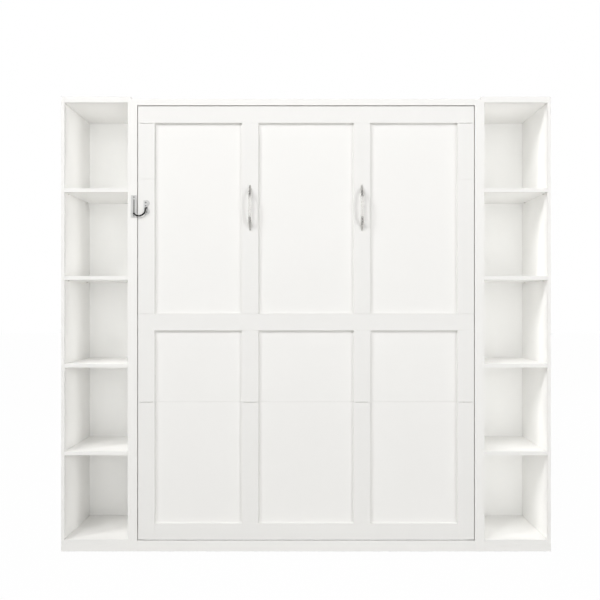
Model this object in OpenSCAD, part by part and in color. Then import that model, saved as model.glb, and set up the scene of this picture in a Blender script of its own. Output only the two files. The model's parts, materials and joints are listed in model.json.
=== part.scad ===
// Upright wall bed in a cabinet, with a bookcase on each side and a desk leaf in the bed's face.
// X runs across the front, Y runs from the front to the wall, Z is up. Sizes are in millimetres.

/* [Mattress and bed box] */
// Width of the mattress that the bed takes
mattress_w = 1524; // [1370:1:1830]
// Length of the mattress
mattress_l = 2032; // [1900:1:2060]
// Thickness of the mattress
mattress_t = 200; // [150:1:215]
// Room left beside the mattress, on each side
mattress_room_w = 3; // [2:0.5:10]
// Room left past the mattress, at each end
mattress_room_l = 4; // [2:0.5:10]
// Thickness of the bed's side rails
bed_rail_t = 18; // [16:0.5:22]
// Depth of the side rails' rear edge behind the face
bed_rail_depth = 150; // [140:1:170]
// Thickness of the boards across the bed's two ends
end_board_t = 15; // [12:0.5:18]
// Number of slats
slat_count = 14; // [10:1:18]
// Width of one slat
slat_w = 68; // [50:1:80]
// Thickness of a slat
slat_t = 18; // [12:0.5:22]
// Depth of the slats' mattress side behind the face
slat_depth = 112; // [104:1:124]
// Depth of the beam and ledgers under the slats
beam_depth = 24; // [18:1:24]
// Width of the centre beam
beam_w = 60; // [40:1:80]
// Width of the ledgers along the side rails
ledger_w = 20; // [16:1:30]
// Thickness of the mattress bar's tube
bar_d = 12; // [10:0.5:16]
// Distance of the mattress bar from the bed's top end
bar_inset = 330; // [250:1:450]
// Gap between the mattress bar and the mattress
bar_room = 6; // [4:1:20]

/* [Cabinet] */
// Depth of the cabinet and bookcases, front plane to wall
unit_d = 480; // [465:1:560]
// Thickness of the cabinet's sides
side_t = 30; // [25:0.5:36]
// Thickness of the cabinet's top
top_t = 30; // [25:0.5:36]
// Height of the plinth strip under the bed's face
plinth_h = 52; // [40:1:60]
// Thickness of the plinth strips
plinth_t = 15; // [12:0.5:15]
// Thickness of the back panels
back_t = 6; // [4:0.5:8]
// Distance of the back panels from the wall
back_inset = 8; // [4:0.5:12]
// Height of the wall rail and of the floor rail
wall_rail_h = 100; // [80:1:140]
// Thickness of the wall rail and of the floor rail
wall_rail_t = 18; // [16:0.5:18]
// Gap between the bed's side rail and the cabinet's side
strut_room = 29; // [27:0.5:36]
// Spacing across of the wall bolts
wall_bolt_span = 1219.2; // [800:0.1:1400]
// Spacing up of the wall bolts
wall_bolt_rise = 50; // [30:1:60]
// Diameter of the wall bolt holes
wall_bolt_d = 9; // [6:0.5:12]

/* [Bookcases] */
// Width of a bookcase
bookcase_w = 336; // [250:1:500]
// Height of a bookcase
bookcase_h = 2187; // [2170:1:2300]
// Thickness of the bookcase's sides
bookcase_t = 16; // [14:0.5:22]
// Height of the bookcase's top edge
bookcase_top_t = 28; // [18:1:40]
// Height of the bookcase's floor above the ground
bookcase_base_h = 55; // [40:1:90]
// Thickness of the bookcase's floor board
bookcase_floor_t = 18; // [16:0.5:22]
// Thickness of a shelf
shelf_t = 18; // [14:0.5:22]
// Height of the lowest shelf's top
shelf_first_z = 480; // [380:1:500]
// Distance from one shelf to the next
shelf_pitch = 422; // [360:1:425]
// Number of shelves in a bookcase
shelf_count = 4; // [2:1:4]
// Diameter of the shelf pins
shelf_pin_d = 5; // [4:0.5:7]
// Distance of the shelf pins from the shelf's front and back edge
shelf_pin_inset = 60; // [30:1:100]

/* [Face] */
// Gap between the bed's face and the cabinet's side
face_gap = 4; // [3:0.5:6]
// Gap above and below the bed's face
face_gap_end = 5; // [5:0.5:8]
// Length of the face past the bed box, at each end
face_overhang = 7; // [5:0.5:12]
// Width of the rails, stiles and mullions
frame_w = 80; // [60:1:100]
// Height of the bottom rail
bottom_rail_h = 78; // [60:1:100]
// Distance of the mullions' centres from the middle
mullion_x = 269; // [220:1:320]
// Thickness of the raised rails, stiles and mullions
trim_t = 12; // [6:0.5:13]
// Thickness of the boards behind them
board_t = 15; // [12:0.5:16]
// Width of the seams in the face
seam = 0.4; // [0.3:0.1:1]

/* [Desk leaf] */
// Height of the seam that the leaf turns about
leaf_z = 719; // [690:1:760]
// Depth of the desk leaf
leaf_depth = 424; // [400:1:440]
// Amount taken off the leaf's rear top edge
swing_relief = 1.2; // [0.9:0.1:3]
// Thickness of the boards around the niche
niche_board_t = 18; // [12:0.5:22]
// Thickness of the panel at the back of the niche
niche_back_t = 6; // [4:0.5:9]
// Length of a stay arm between its pivot and its guide pin
stay_len = 235; // [220:1:236]
// Distance of the stay's pivot from the leaf's seam
stay_reach = 150; // [146:1:160]
// Depth of the stay's pivot behind the leaf
stay_back = 9; // [8:0.5:10]
// Depth of the guide slot behind the leaf
stay_track_back = 23; // [20:0.5:24]
// Width of a stay arm
stay_w = 13; // [11:0.5:14]
// Thickness of a stay arm
stay_t = 4; // [3:0.5:6]
// Diameter of the stay's pivot and guide pin
stay_pin_d = 6; // [5:0.5:7]
// Thickness of the slotted track plate
track_t = 4; // [3:0.5:6]

/* [Small hinges] */
// Width of a hinge
hinge_w = 60; // [40:1:70]
// Thickness of a hinge's plates
hinge_plate_t = 1.2; // [1:0.1:2]
// Depth of a hinge's plates in the boards
hinge_plate_d = 18; // [12:0.5:20]
// Radius of a hinge's knuckle
hinge_r = 2.6; // [2.4:0.1:4]
// Radius of a hinge's pin
hinge_pin_r = 1.1; // [0.8:0.1:1.2]

/* [Bed pivot] */
// Height of the bed's pivot
pivot_z = 350; // [345:1:380]
// Distance of the pivot behind the face
pivot_back = 80; // [76:1:84]
// Diameter of the pivot pins
pivot_d = 16; // [12:0.5:17]
// Thickness of the bush's wall
bush_wall = 3; // [2:0.5:5]
// Thickness of the steel plates on the cabinet and rails
plate_t = 3; // [2:0.1:3.2]
// Size of the pivot plates
pivot_plate = 90; // [60:1:120]

/* [Gas springs] */
// Distance of each end of a gas spring from the bed's pivot
strut_arm = 260; // [240:1:262]
// Angle of the cabinet end above the horizontal
strut_lean = 80; // [76:0.5:82]
// Diameter of a gas spring's tube
tube_d = 20; // [16:0.5:21]
// Diameter of a gas spring's rod
rod_d = 10; // [8:0.5:10]
// Wall of the tube
tube_wall = 2; // [1.5:0.1:3]
// Length of a gas spring's tube past the end fitting
tube_len = 290; // [270:1:296]
// Diameter of the pins at both ends of a gas spring
strut_pin_d = 8; // [6:0.5:10]
// Thickness of the eyes at both ends
eye_t = 12; // [11:0.5:13]

/* [Handles] */
// Length of a handle
handle_len = 226; // [160:1:260]
// Height of the handles' centre
handle_z = 1653; // [1500:1:1800]
// Distance that the handles stand out of the face
handle_out = 34; // [25:1:45]
// Thickness of a handle's grip
grip_d = 7; // [5:0.5:11]
// Width of a handle's grip
grip_w = 14; // [10:0.5:18]
// Length of a handle's grip
grip_len = 92; // [60:1:130]
// Width of a handle's feet
foot_w = 16; // [11:0.5:20]

/* [Safety chain] */
// Height of the chain plate's centre on the bed
anchor_z = 1655; // [1500:1:1750]
// Height of the chain track's centre on the cabinet
chain_track_z = 1660; // [1500:1:1750]
// Length of the chain track
chain_track_len = 105; // [80:1:130]
// Width of both plates
chain_plate_w = 26; // [20:1:28]
// Length of the chain plate on the bed
anchor_len = 70; // [60:1:76]
// Thickness of the chain's wire
chain_wire = 2; // [1.6:0.1:2.4]
// Number of links
link_count = 9; // [7:1:10]
// Sag of the chain below a straight line
chain_dip = 21; // [16:1:23]

/* [Hidden] */
$fn = 48;
run_gap = 0.3;      // gap between flat parts that move on each other
bore_gap = 0.05;    // play of a pin in its bore
round_gap = 0.4;    // play of a guide pin in its slot

// Widths
bed_in_w = mattress_w + 2 * mattress_room_w;
bed_out_w = bed_in_w + 2 * bed_rail_t;
inside_w = bed_out_w + 2 * strut_room;
cabinet_w = inside_w + 2 * side_t;
face_w = inside_w - 2 * face_gap;
overall_w = cabinet_w + 2 * bookcase_w;

// Heights
bed_in_l = mattress_l + 2 * mattress_room_l;
face_h = bed_in_l + 2 * end_board_t + 2 * face_overhang;
face_z0 = plinth_h + face_gap_end;
face_z1 = face_z0 + face_h;
bed_z0 = face_z0 + face_overhang;
bed_z1 = face_z1 - face_overhang;
slat_z0 = bed_z0 + end_board_t;
slat_z1 = bed_z1 - end_board_t;
inside_h = face_z1 + face_gap_end;
cabinet_h = inside_h + top_t;
leaf_top = leaf_z + leaf_depth;
top_rail_z = face_z1 - frame_w;
mid_rail_z = leaf_top - frame_w;
bottom_rail_z = face_z0 + bottom_rail_h;

// Depths, from the front plane at front_y to the wall at wall_y
front_y = handle_out - (unit_d + handle_out) / 2;
wall_y = front_y + unit_d;
face_t = trim_t + board_t;
back_y = wall_y - back_inset - back_t;
pivot_y = front_y + pivot_back;
slat_y = front_y + slat_depth;
beam_y = slat_y - slat_t - beam_depth;
niche_back_y = beam_y - niche_back_t;

// Gas spring: both ends lie at the same distance from the pivot, so its angle
// follows half of the bed's angle exactly
strut_x = inside_w / 2 - strut_room / 2;
strut_top = [pivot_y + strut_arm * cos(strut_lean), pivot_z + strut_arm * sin(strut_lean)];
strut_low = [pivot_y, pivot_z - strut_arm];
strut_out = 2 * strut_arm * sin((strut_lean + 90) / 2);
strut_in = 2 * strut_arm * sin(strut_lean / 2);
strut_eye_r = strut_pin_d / 2 + 4;
strut_tilt = (90 - strut_lean) / 2;

// Leg: its length is the height of the lowered face above the floor, and it's as thick as
// the face less a gap. Its lower end is bevelled enough for its rear corner to swing past.
leg_len = pivot_z - pivot_back;
leg_t = face_t - 1;
leg_bevel = leg_t * leg_t / (2 * leg_len);
leg_z1 = top_rail_z;
leg_z0 = leg_z1 - leg_len;
leg_x = face_w / 2 - frame_w;

// Stay arm: the pivot on the leaf and the guide pin, at rest and with the leaf down
stay_e = face_t + stay_back;
stay_c = face_t + stay_track_back;
stay_up = stay_reach + sqrt(pow(stay_len, 2) - pow(stay_c - stay_e, 2));
stay_down = stay_e + sqrt(pow(stay_len, 2) - pow(stay_c + stay_reach, 2));
stay_angle0 = atan2(stay_up - stay_reach, stay_c - stay_e);
stay_angle1 = atan2(stay_down - stay_e, stay_c + stay_reach);
stay_x = bed_in_w / 2 - track_t - run_gap - stay_t;
slot_r = stay_pin_d / 2 + round_gap;
slot_end_r = slot_r + 0.1;                    // the slot's ends are bored a little wider

// Chain: an arc of equal links between the eye on the bed and the knob in the track
knob_r = 4.5;
knob_neck_r = 2;
knob_side = 4;                                // distance of the chain's end from the track's middle
knob_rise = 14;                               // height of the chain's end in the track
slot_top = 20;                                // distance of the slot's upper end from the track's top
track_thick = 5;
anchor_thick = 2.5;
eye_h = 7.4;                                 // height of the chain's eye on its pin
eye_r = 3;
eye_pin_r = 1.5;
link_r = chain_wire * 1.2;                   // radius of a link's round ends
link_lap = (chain_wire + run_gap) / 2;       // how far a link reaches past its neighbour's end
ring_back = link_r - link_lap;
link_out = link_r + chain_wire / 2;          // half the width of a link
anchor_x = -face_w / 2 + frame_w / 2;
chain_track_x = -inside_w / 2 - side_t / 2;
chain_y = front_y - track_thick - 4;
chain_pin = [anchor_x + 3, chain_y, anchor_z - 4];
chain_from = [chain_pin[0] - eye_r - link_out - 2 * round_gap, chain_pin[2] - chain_wire];
chain_to = [chain_track_x + knob_side, chain_track_z - chain_track_len / 2 + knob_rise];
chain_along = (chain_to - chain_from) / norm(chain_to - chain_from);
chain_down = [-chain_along[1], chain_along[0]];
chain_r = (pow(norm(chain_to - chain_from) / 2, 2) + pow(chain_dip, 2)) / (2 * chain_dip);
chain_half = asin(norm(chain_to - chain_from) / 2 / chain_r);
function chain_point(i) = let (a = chain_half * (2 * i / link_count - 1))
    (chain_from + chain_to) / 2 + chain_r * (cos(a) * chain_down + sin(a) * chain_along)
        - (chain_r - chain_dip) * chain_down;
function link_way(i) = let (v = chain_point(i + 1) - chain_point(i)) v / norm(v);
link_pitch = norm(chain_point(1) - chain_point(0));
knob_at = chain_to + (ring_back + link_out) * link_way(link_count - 1);

// ---------- shared shapes ----------

// A board between two corners
module board(low, high) {
    translate(low) cube(high - low);
}

// A cylinder along X between two places
module rod_x(x0, x1, y, z, r) {
    translate([min(x0, x1), y, z]) rotate([0, 90, 0]) cylinder(h = abs(x1 - x0), r = r);
}

// A cylinder along Y between two places
module rod_y(y0, y1, x, z, r) {
    translate([x, max(y0, y1), z]) rotate([90, 0, 0]) cylinder(h = abs(y1 - y0), r = r);
}

// The same piece on the left and on the right
module both_sides() {
    children();
    mirror([1, 0, 0]) children();
}

// An outline in Y and Z, drawn from x0 to x1
module slab_yz(x0, x1) {
    translate([x0, 0, 0]) rotate([90, 0, 90]) linear_extrude(x1 - x0) children();
}

// Centres of the small hinges along the leaf's seam
function hinge_places() = [-leg_x - frame_w / 2, -mullion_x, mullion_x, leg_x + frame_w / 2];

// Room that a small hinge needs in the edges on both sides of its seam
module hinge_room(x, z) {
    cut = hinge_plate_t + seam / 2 + bore_gap;
    rod_x(x - hinge_w / 2 - seam, x + hinge_w / 2 + seam, front_y, z, hinge_r + round_gap);
    board([x - hinge_w / 2 - seam, front_y - 1, z - cut],
        [x + hinge_w / 2 + seam, front_y + hinge_plate_d + seam, z + cut]);
}

module leaf_hinge_rooms() {
    for (x = hinge_places()) hinge_room(x, leaf_z);
}

// One half of a small hinge, below its seam. The fixed half has the two outer knuckles.
module hinge_half(x, z, outer) {
    third = hinge_w / 3;
    starts = outer ? [-hinge_w / 2, hinge_w / 2 - third] : [-third / 2 + run_gap];
    length = outer ? third : third - 2 * run_gap;
    difference() {
        union() {
            board([x - hinge_w / 2, front_y + hinge_r + round_gap, z - seam / 2 - hinge_plate_t],
                [x + hinge_w / 2, front_y + hinge_plate_d, z - seam / 2]);
            for (s = starts) {
                rod_x(x + s, x + s + length, front_y, z, hinge_r);
                board([x + s, front_y, z - seam / 2 - hinge_plate_t],
                    [x + s + length, front_y + hinge_r + 2 * round_gap, z - seam / 2]);
            }
        }
        rod_x(x - hinge_w, x + hinge_w, front_y, z, hinge_pin_r + bore_gap);
    }
}

// The same half, above its seam
module hinge_half_above(x, z, outer) {
    translate([0, 0, 2 * z]) mirror([0, 0, 1]) hinge_half(x, z, outer);
}

module hinge_pin(x, z) {
    rod_x(x - hinge_w / 2, x + hinge_w / 2, front_y, z, hinge_pin_r);
}

// ---------- centre cabinet ----------

module cabinet_side() {
    color("white") difference() {
        board([inside_w / 2, front_y, 0], [cabinet_w / 2, wall_y, cabinet_h]);
        rod_x(inside_w / 2 - 1, inside_w / 2 + side_t / 2, pivot_y, pivot_z, pivot_d / 2 + bore_gap);
        board([inside_w / 2 - 1, back_y, wall_rail_h],
            [inside_w / 2 + side_t / 4, back_y + back_t, inside_h - wall_rail_h]);
    }
}

module cabinet_side_left() {
    mirror([1, 0, 0]) cabinet_side();
}

module cabinet_side_right() {
    cabinet_side();
}

module cabinet_top() {
    color("white") board([-inside_w / 2, front_y, inside_h], [inside_w / 2, wall_y, cabinet_h]);
}

module cabinet_plinth() {
    color("white") board([-inside_w / 2, front_y, 0], [inside_w / 2, front_y + plinth_t, plinth_h]);
}

// Two back panels, meeting on the middle line, in grooves of the sides
module cabinet_back() {
    edge = inside_w / 2 + side_t / 4;
    color("white") both_sides()
        board([seam / 2, back_y, wall_rail_h], [edge, back_y + back_t, inside_h - wall_rail_h]);
}

module wall_rail() {
    color("white") difference() {
        board([-inside_w / 2, wall_y - wall_rail_t, inside_h - wall_rail_h],
            [inside_w / 2, wall_y, inside_h]);
        for (x = [-1, 1], z = [-1, 1])
            rod_y(wall_y - wall_rail_t - 1, wall_y + 1, x * wall_bolt_span / 2,
                inside_h - wall_rail_h / 2 + z * wall_bolt_rise / 2, wall_bolt_d / 2);
    }
}

module floor_rail() {
    color("white") board([-inside_w / 2, wall_y - wall_rail_t, 0], [inside_w / 2, wall_y, wall_rail_h]);
}

// ---------- bookcases, drawn on the right and mirrored ----------

case_x0 = cabinet_w / 2;
case_x1 = overall_w / 2;
case_in0 = case_x0 + bookcase_t;
case_in1 = case_x1 - bookcase_t;

function shelf_top(i) = shelf_first_z + i * shelf_pitch;

// Holes of the shelf pins in a side board between two places across
module pin_holes(x0, x1) {
    for (i = [0 : shelf_count - 1], y = [front_y + shelf_pin_inset, back_y - shelf_pin_inset])
        rod_x(x0, x1, y, shelf_top(i) - shelf_t - shelf_pin_d / 2, shelf_pin_d / 2 + bore_gap);
}

module outer_side() {
    color("white") difference() {
        board([case_in1, front_y, 0], [case_x1, wall_y, bookcase_h]);
        pin_holes(case_in1 - 1, case_in1 + bookcase_t / 2);
    }
}

module inner_side() {
    color("white") difference() {
        board([case_x0, front_y, 0], [case_in0, wall_y, bookcase_h]);
        pin_holes(case_in0 - bookcase_t / 2, case_in0 + 1);
    }
}

module case_top() {
    color("white") board([case_in0, front_y, bookcase_h - bookcase_top_t], [case_in1, wall_y, bookcase_h]);
}

module case_floor() {
    color("white") board([case_in0, front_y, bookcase_base_h - bookcase_floor_t],
        [case_in1, back_y, bookcase_base_h]);
}

module case_back() {
    color("white") board([case_in0, back_y, 0], [case_in1, back_y + back_t, bookcase_h - bookcase_top_t]);
}

module case_shelves() {
    color("white") for (i = [0 : shelf_count - 1])
        board([case_in0 + run_gap, front_y, shelf_top(i) - shelf_t], [case_in1 - run_gap, back_y, shelf_top(i)]);
}

module left_outer_side() { mirror([1, 0, 0]) outer_side(); }
module left_inner_side() { mirror([1, 0, 0]) inner_side(); }
module left_top() { mirror([1, 0, 0]) case_top(); }
module left_floor() { mirror([1, 0, 0]) case_floor(); }
module left_back() { mirror([1, 0, 0]) case_back(); }
module left_shelves() { mirror([1, 0, 0]) case_shelves(); }
module right_outer_side() { outer_side(); }
module right_inner_side() { inner_side(); }
module right_top() { case_top(); }
module right_floor() { case_floor(); }
module right_back() { case_back(); }
module right_shelves() { case_shelves(); }

module bookcase_plinths() {
    color("white") both_sides()
        board([case_in0, front_y, 0], [case_in1, front_y + plinth_t, bookcase_base_h - bookcase_floor_t]);
}

// Pins that carry the shelves, four to a shelf
module shelf_pins() {
    reach = bookcase_t / 2;
    color("silver") both_sides()
        for (i = [0 : shelf_count - 1], y = [front_y + shelf_pin_inset, back_y - shelf_pin_inset]) {
            z = shelf_top(i) - shelf_t - shelf_pin_d / 2;
            rod_x(case_in0 - reach, case_in0 + reach, y, z, shelf_pin_d / 2);
            rod_x(case_in1 - reach, case_in1 + reach, y, z, shelf_pin_d / 2);
        }
}

// ---------- pivots and gas springs ----------

module pivot_plates() {
    color("silver") both_sides() difference() {
        board([inside_w / 2 - plate_t, pivot_y - pivot_plate / 2, pivot_z - pivot_plate / 2],
            [inside_w / 2, pivot_y + pivot_plate / 2, pivot_z + pivot_plate / 2]);
        rod_x(inside_w / 2 - plate_t - 1, inside_w / 2 + 1, pivot_y, pivot_z, pivot_d / 2 + bore_gap);
    }
}

// Pins that turn in the bushes and sit in the cabinet's sides
module pivot_pins() {
    color("silver") both_sides()
        rod_x(bed_in_w / 2 + 2, inside_w / 2 + side_t / 2, pivot_y, pivot_z, pivot_d / 2);
}

module pivot_bushes() {
    color("dimgray") both_sides() difference() {
        union() {
            rod_x(bed_in_w / 2, bed_out_w / 2, pivot_y, pivot_z, pivot_d / 2 + bush_wall);
            rod_x(bed_out_w / 2, bed_out_w / 2 + plate_t, pivot_y, pivot_z, pivot_d / 2 + 2 * bush_wall);
        }
        rod_x(bed_in_w / 2 - 1, inside_w / 2, pivot_y, pivot_z, pivot_d / 2 + bore_gap);
    }
}

// Plate and pin that hold the upper end of each gas spring
module strut_anchors() {
    color("silver") both_sides() {
        board([inside_w / 2 - plate_t, strut_top[0] - tube_d, strut_top[1] - tube_d * 1.5],
            [inside_w / 2, strut_top[0] + tube_d, strut_top[1] + tube_d * 1.5]);
        rod_x(strut_x - eye_t / 2 - 2, inside_w / 2 - plate_t, strut_top[0], strut_top[1], strut_pin_d / 2);
        rod_x(strut_x + eye_t / 2 + run_gap, inside_w / 2 - plate_t, strut_top[0], strut_top[1],
            strut_pin_d / 2 + 2);
    }
}

// Plate and stud on the bed for the rod's eye; the stud ends just short of the eye
module strut_studs() {
    color("silver") both_sides() {
        board([bed_out_w / 2, strut_low[0] - tube_d, strut_low[1] - tube_d],
            [bed_out_w / 2 + plate_t, strut_low[0] + tube_d, strut_low[1] + tube_d]);
        rod_x(bed_out_w / 2 + plate_t, strut_x - eye_t / 2 - run_gap, strut_low[0], strut_low[1],
            strut_pin_d / 2);
    }
}

// Places a gas spring piece that is drawn downwards from the upper end
module along_strut() {
    translate([strut_x, strut_top[0], strut_top[1]]) rotate([-strut_tilt, 0, 0]) children();
}

module strut_tube() {
    neck = eye_t + 4;
    color("dimgray") along_strut() difference() {
        union() {
            rod_x(-eye_t / 2, eye_t / 2, 0, 0, strut_eye_r);
            translate([0, 0, -neck]) cylinder(h = neck - strut_pin_d / 2 - 1, d = eye_t - 2);
            translate([0, 0, -neck - tube_len + eye_t]) cylinder(h = tube_len - eye_t, d = tube_d);
        }
        rod_x(-eye_t, eye_t, 0, 0, strut_pin_d / 2 + bore_gap);
        translate([0, 0, -neck - tube_len]) cylinder(h = tube_len - 2 * tube_wall, d = tube_d - 2 * tube_wall);
    }
}

// Rod with its piston inside the tube and its eye at the lower end
module strut_rod() {
    piston = 12;
    rod_guide = 14;
    rod_top = -(strut_out - strut_in) - eye_t - rod_guide - piston;
    rod_low = -strut_out + strut_pin_d / 2 + 2;
    color("silver") along_strut() difference() {
        union() {
            translate([0, 0, rod_low]) cylinder(h = rod_top - rod_low, d = rod_d);
            translate([0, 0, rod_top - piston])
                cylinder(h = piston, d = tube_d - 2 * tube_wall - 2 * bore_gap);
            rod_x(-eye_t / 2, eye_t / 2, 0, -strut_out, strut_eye_r);
        }
        rod_x(-eye_t, eye_t, 0, -strut_out, strut_pin_d / 2 + bore_gap);
    }
}

module strut_tube_left() { mirror([1, 0, 0]) strut_tube(); }
module strut_tube_right() { strut_tube(); }
module strut_rod_left() { mirror([1, 0, 0]) strut_rod(); }
module strut_rod_right() { strut_rod(); }

// ---------- bed face ----------

// Board behind the three upper panels, notched for the legs
module upper_board() {
    color("white") difference() {
        board([-face_w / 2, front_y + trim_t, leaf_top + seam / 2], [face_w / 2, front_y + face_t, face_z1]);
        both_sides() {
            board([leg_x - seam, front_y, leg_z0 - seam / 2],
                [face_w / 2 + 1, front_y + face_t + 1, leg_z1 + seam / 2]);
            hinge_room(leg_x + frame_w / 2, leg_z1);
        }
    }
}

module lower_board() {
    color("white") difference() {
        board([-face_w / 2, front_y + trim_t, face_z0], [face_w / 2, front_y + face_t, leaf_z - seam / 2]);
        leaf_hinge_rooms();
    }
}

module top_rail() {
    color("white") difference() {
        board([-face_w / 2, front_y, top_rail_z + seam / 2], [face_w / 2, front_y + trim_t, face_z1]);
        both_sides() hinge_room(leg_x + frame_w / 2, leg_z1);
    }
}

module bottom_rail() {
    color("white") board([-leg_x, front_y, face_z0], [leg_x, front_y + trim_t, bottom_rail_z]);
}

module upright(x0, x1, z0, z1) {
    board([x0, front_y, z0], [x1, front_y + trim_t, z1]);
}

// Stiles below the legs, and the two mullions
module upper_uprights() {
    color("white") both_sides() {
        upright(leg_x, face_w / 2, leaf_top + seam / 2, leg_z0 - seam / 2);
        upright(mullion_x - frame_w / 2, mullion_x + frame_w / 2, leaf_top + seam / 2, top_rail_z + seam / 2);
    }
}

module lower_uprights() {
    color("white") difference() {
        both_sides() {
            upright(leg_x, face_w / 2, face_z0, leaf_z - seam / 2);
            upright(mullion_x - frame_w / 2, mullion_x + frame_w / 2, bottom_rail_z, leaf_z - seam / 2);
        }
        leaf_hinge_rooms();
    }
}

// ---------- desk leaf ----------

module leaf_board() {
    color("white") difference() {
        board([-face_w / 2, front_y + trim_t, leaf_z + seam / 2],
            [face_w / 2, front_y + face_t, leaf_top - seam / 2 - swing_relief]);
        leaf_hinge_rooms();
    }
}

module mid_rail() {
    color("white") board([-face_w / 2, front_y, mid_rail_z], [face_w / 2, front_y + trim_t, leaf_top - seam / 2]);
}

module leaf_uprights() {
    color("white") difference() {
        both_sides() {
            upright(leg_x, face_w / 2, leaf_z + seam / 2, mid_rail_z);
            upright(mullion_x - frame_w / 2, mullion_x + frame_w / 2, leaf_z + seam / 2, mid_rail_z);
        }
        leaf_hinge_rooms();
    }
}

// Moving hinge halves, and the lugs with pins that carry the stay arms
module leaf_fittings() {
    lug = stay_w;
    color("silver") {
        for (x = hinge_places()) hinge_half_above(x, leaf_z, false);
        both_sides() {
            board([stay_x - run_gap - track_t, front_y + face_t, leaf_z + stay_reach - lug],
                [stay_x - run_gap, front_y + stay_e + stay_pin_d, leaf_z + stay_reach + lug]);
            rod_x(stay_x - run_gap - 1, stay_x + stay_t, front_y + stay_e, leaf_z + stay_reach, stay_pin_d / 2);
        }
    }
}

// ---------- niche and stays ----------

// Boards above and below the niche behind the leaf
module niche_boards() {
    color("white") for (z = [leaf_z - seam / 2 - niche_board_t, leaf_top + seam / 2])
        board([-bed_in_w / 2, front_y + face_t, z], [bed_in_w / 2, niche_back_y + niche_back_t, z + niche_board_t]);
}

module niche_back() {
    color("white") board([-bed_in_w / 2, niche_back_y, leaf_z - seam / 2],
        [bed_in_w / 2, niche_back_y + niche_back_t, leaf_top + seam / 2]);
}

function turned(p, a) = [p[0] * cos(a) - p[1] * sin(a), p[0] * sin(a) + p[1] * cos(a)];

// Place of the guide pin when the leaf is open by the angle a
function guide_at(a) = turned([stay_e, stay_reach], a)
    + stay_len * [cos(stay_angle0 + (stay_angle1 - stay_angle0) * a / 90),
        sin(stay_angle0 + (stay_angle1 - stay_angle0) * a / 90)];

function unit(v) = v / norm(v);

// Point beside the guide pin's path, at the distance d
function beside_path(a, d) = let (t = unit(guide_at(a + 1) - guide_at(a - 1))) guide_at(a) + d * [-t[1], t[0]];

// Slot that the guide pin runs in
module guide_slot() {
    steps = 24;
    angles = [for (i = [0 : steps]) 90 * i / steps];
    polygon(concat([for (a = angles) beside_path(a, slot_r)],
        [for (i = [steps : -1 : 0]) beside_path(angles[i], -slot_r)]));
}

// Slotted plates on the inner sides of the bed's rails
module stay_tracks() {
    x0 = bed_in_w / 2 - track_t;
    x1 = bed_in_w / 2;
    face_room = 2;
    past_slot = 14;
    // the path turns back on itself at the top, so the slot ends in a round pocket there
    pocket = (guide_at(0) + guide_at(10)) / 2;
    pocket_room = 1.2;
    color("silver") both_sides() translate([0, front_y, leaf_z]) difference() {
        board([x0, face_t + face_room, stay_down - past_slot],
            [x1, niche_back_y - front_y, stay_up + past_slot]);
        slab_yz(x0 - 1, x1 + 1) guide_slot();
        rod_x(x0 - 1, x1 + 1, guide_at(90)[0], guide_at(90)[1], slot_end_r);
        rod_x(x0 - 1, x1 + 1, pocket[0], pocket[1], slot_r + pocket_room);
    }
}

module stay_arm() {
    color("silver") translate([0, front_y + stay_e, leaf_z + stay_reach])
        rotate([stay_angle0 - 90, 0, 0]) difference() {
            union() {
                board([stay_x, -stay_w / 2, 0], [stay_x + stay_t, stay_w / 2, stay_len]);
                rod_x(stay_x, stay_x + stay_t, 0, 0, stay_w / 2);
                rod_x(stay_x, stay_x + stay_t, 0, stay_len, stay_w / 2);
                rod_x(stay_x + stay_t / 2, bed_in_w / 2 - run_gap, 0, stay_len, stay_pin_d / 2);
            }
            rod_x(stay_x - 1, stay_x + stay_t + 0.01, 0, 0, stay_pin_d / 2 + bore_gap);
        }
}

module stay_arm_left() { mirror([1, 0, 0]) stay_arm(); }
module stay_arm_right() { stay_arm(); }

// ---------- bed box ----------

module bed_rail() {
    color("white") difference() {
        board([bed_in_w / 2, front_y + face_t, bed_z0], [bed_out_w / 2, front_y + bed_rail_depth, bed_z1]);
        rod_x(bed_in_w / 2 - 1, bed_out_w / 2 + 1, pivot_y, pivot_z, pivot_d / 2 + bush_wall);
    }
}

module bed_rail_left() { mirror([1, 0, 0]) bed_rail(); }
module bed_rail_right() { bed_rail(); }

// Boards across the head and foot; the head lies at the bottom of the upright bed
module end_boards() {
    color("white") for (z = [bed_z0, bed_z1 - end_board_t])
        board([-bed_in_w / 2, front_y + face_t, z],
            [bed_in_w / 2, front_y + bed_rail_depth, z + end_board_t]);
}

module centre_beam() {
    color("burlywood") board([-beam_w / 2, beam_y, slat_z0], [beam_w / 2, beam_y + beam_depth, slat_z1]);
}

module side_ledgers() {
    color("burlywood") both_sides()
        board([bed_in_w / 2 - ledger_w, beam_y, slat_z0], [bed_in_w / 2, beam_y + beam_depth, slat_z1]);
}

module slats() {
    pitch = (slat_z1 - slat_z0 - slat_w - 2 * mattress_room_l) / (slat_count - 1);
    color("burlywood") for (i = [0 : slat_count - 1]) {
        z = slat_z0 + mattress_room_l + i * pitch;
        board([-bed_in_w / 2 + 1, slat_y - slat_t, z], [bed_in_w / 2 - 1, slat_y, z + slat_w]);
    }
}

// Bar across the mattress between two posts on the rails, which keeps the mattress in the bed
module mattress_bar() {
    x = (bed_in_w + bed_rail_t) / 2;
    z = bed_z1 - bar_inset;
    bar_y = slat_y + mattress_t + bar_room + bar_d / 2;
    corner = bar_d / 2 + 2;
    color("silver") {
        both_sides() {
            rod_y(front_y + bed_rail_depth, bar_y, x, z, bar_d / 2);
            board([x - corner, bar_y - corner, z - corner], [x + corner, bar_y + corner, z + corner]);
        }
        rod_x(-x, x, bar_y, z, bar_d / 2);
    }
}

// ---------- fittings on the bed's face ----------

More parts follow.
